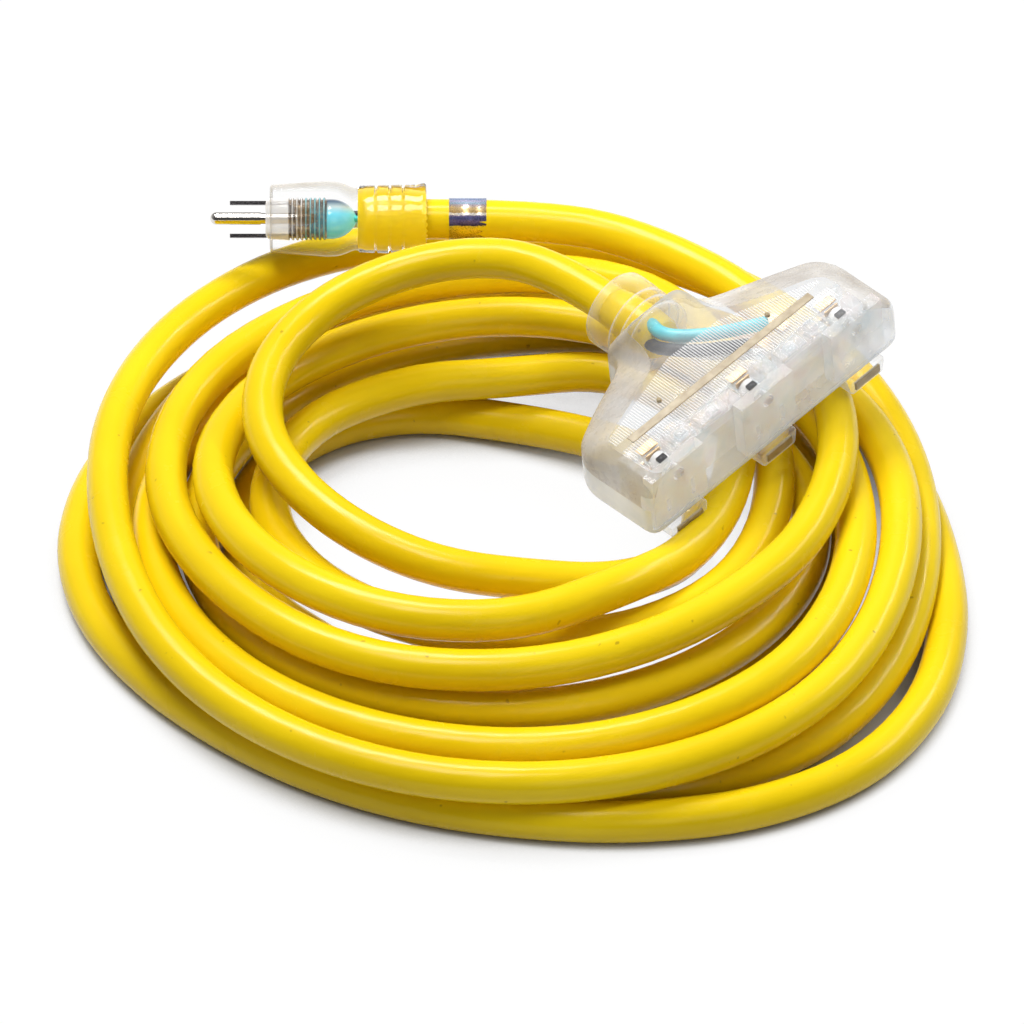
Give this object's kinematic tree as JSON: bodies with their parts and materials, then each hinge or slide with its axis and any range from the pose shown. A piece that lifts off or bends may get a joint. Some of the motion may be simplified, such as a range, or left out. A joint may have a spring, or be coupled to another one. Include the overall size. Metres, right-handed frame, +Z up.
{
  "type": "extension cord",
  "caption": "Coiled heavy-duty extension cord with a clear grounded plug and a clear flat outlet block.",
  "frame": {"origin": "on the floor under the middle of the coil, on the plane of the coil's flat underside", "axes": "+Z up, +X to the picture's right, +Y away from the camera; the plug's pins point along -X"},
  "size_m": [0.3431, 0.3416, 0.1033],
  "materials": {
    "jacket": "satin yellow PVC jacket",
    "label": "foil label, silver over yellow",
    "clear_plastic": "clear moulded PVC",
    "blue_plastic": "translucent blue",
    "blade_metal": "dull plated brass",
    "contact_brass": "stamped",
    "black_wire": "satin",
    "white_wire": "satin",
    "green_wire": "satin",
    "lamp_glass": "small neon lamp"
  },
  "bodies": {
    "root": {"cord_coil": "jacket", "cord_lead_to_tap": "jacket", "cord_lead_to_plug": "jacket", "cord_label": "label", "plug_housing": "clear_plastic", "plug_inner_block": "clear_plastic", "plug_lamp_dome": "blue_plastic", "plug_blade_hot": "blade_metal", "plug_blade_neutral": "blade_metal", "plug_ground_pin": "blade_metal", "plug_crimps": "contact_brass", "plug_wire_hot": "black_wire", "plug_wire_neutral": "white_wire", "plug_wire_ground": "green_wire", "plug_lamp": "lamp_glass", "cord_end_in_plug": "jacket", "tap_housing": "clear_plastic", "outlet_face_left": "clear_plastic", "outlet_face_middle": "clear_plastic", "outlet_face_right": "clear_plastic", "tap_contact_carrier": "clear_plastic", "tap_hot_bus": "contact_brass", "tap_neutral_bus": "contact_brass", "tap_ground_bus": "contact_brass", "tap_wire_hot": "black_wire", "tap_wire_neutral": "white_wire", "tap_wire_ground": "green_wire", "tap_terminals": "contact_brass", "tap_lamp": "lamp_glass", "cord_end_in_tap": "jacket"}
  },
  "joints": []
}
